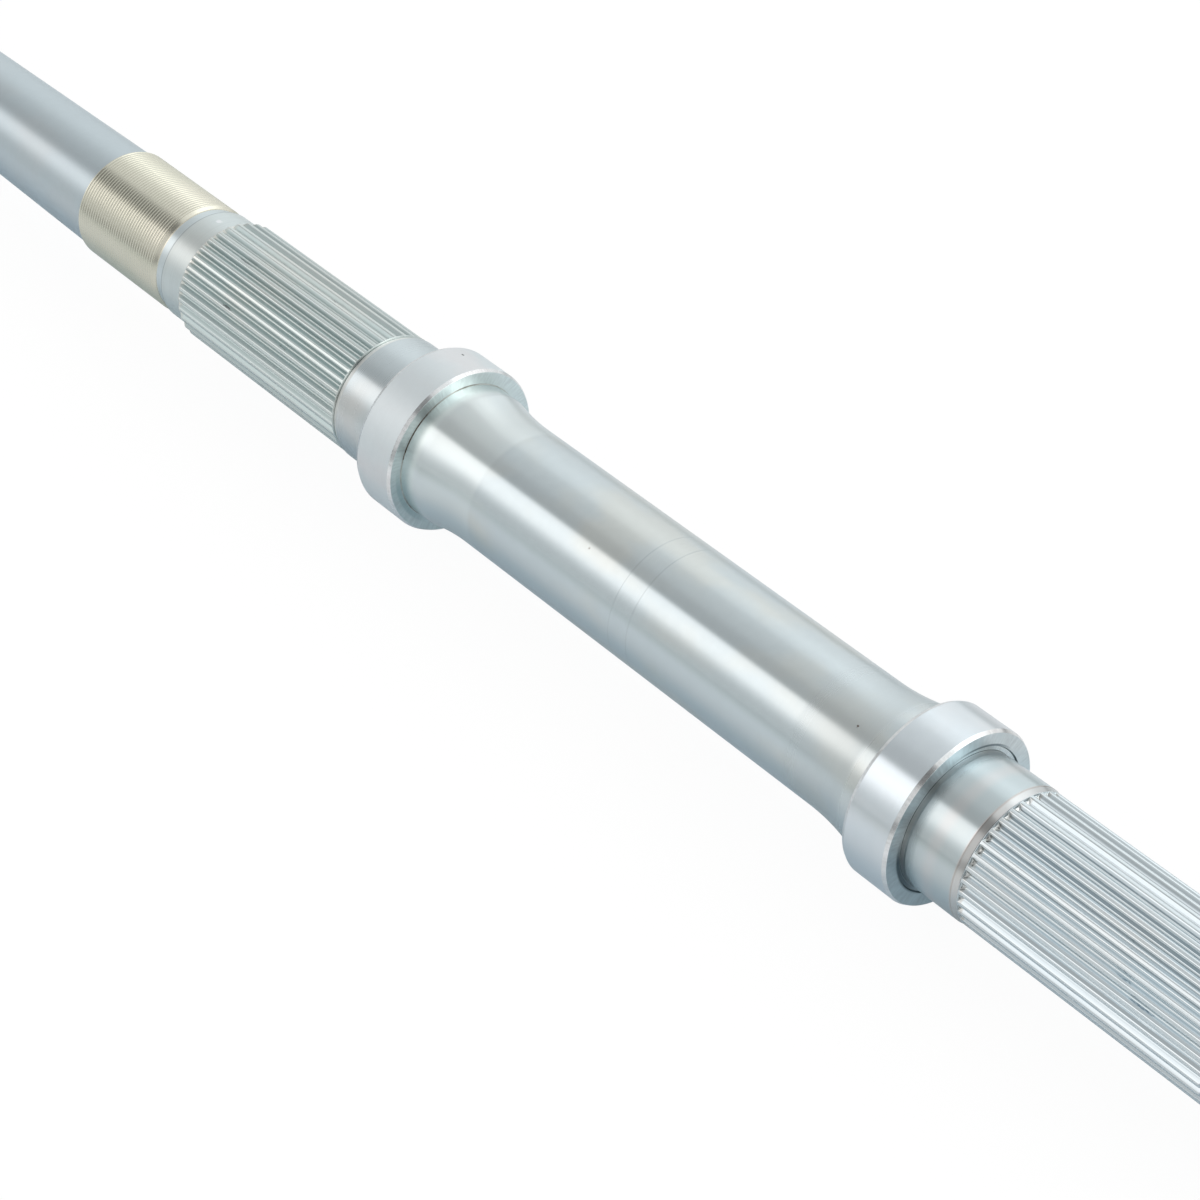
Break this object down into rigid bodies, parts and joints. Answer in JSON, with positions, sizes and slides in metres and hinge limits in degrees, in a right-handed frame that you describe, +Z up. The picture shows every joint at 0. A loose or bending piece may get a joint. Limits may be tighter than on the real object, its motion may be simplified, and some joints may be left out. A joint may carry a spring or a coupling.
{
  "type": "splined shaft",
  "caption": "Zinc-plated steel rear axle shaft with bearing journals beside two collars, involute splines, a fine nut thread and tapered ends.",
  "frame": {"origin": "on the shaft's axis, half way between the two collars", "axes": "+X along the shaft, towards the end without a thread; +Z up with the shaft level"},
  "size_m": [0.85, 0.045, 0.0448],
  "materials": {
    "zinc_plated_steel": "bright zinc plating over fine turned steel"
  },
  "bodies": {
    "root": {"splined_shaft": "zinc_plated_steel"}
  },
  "joints": []
}
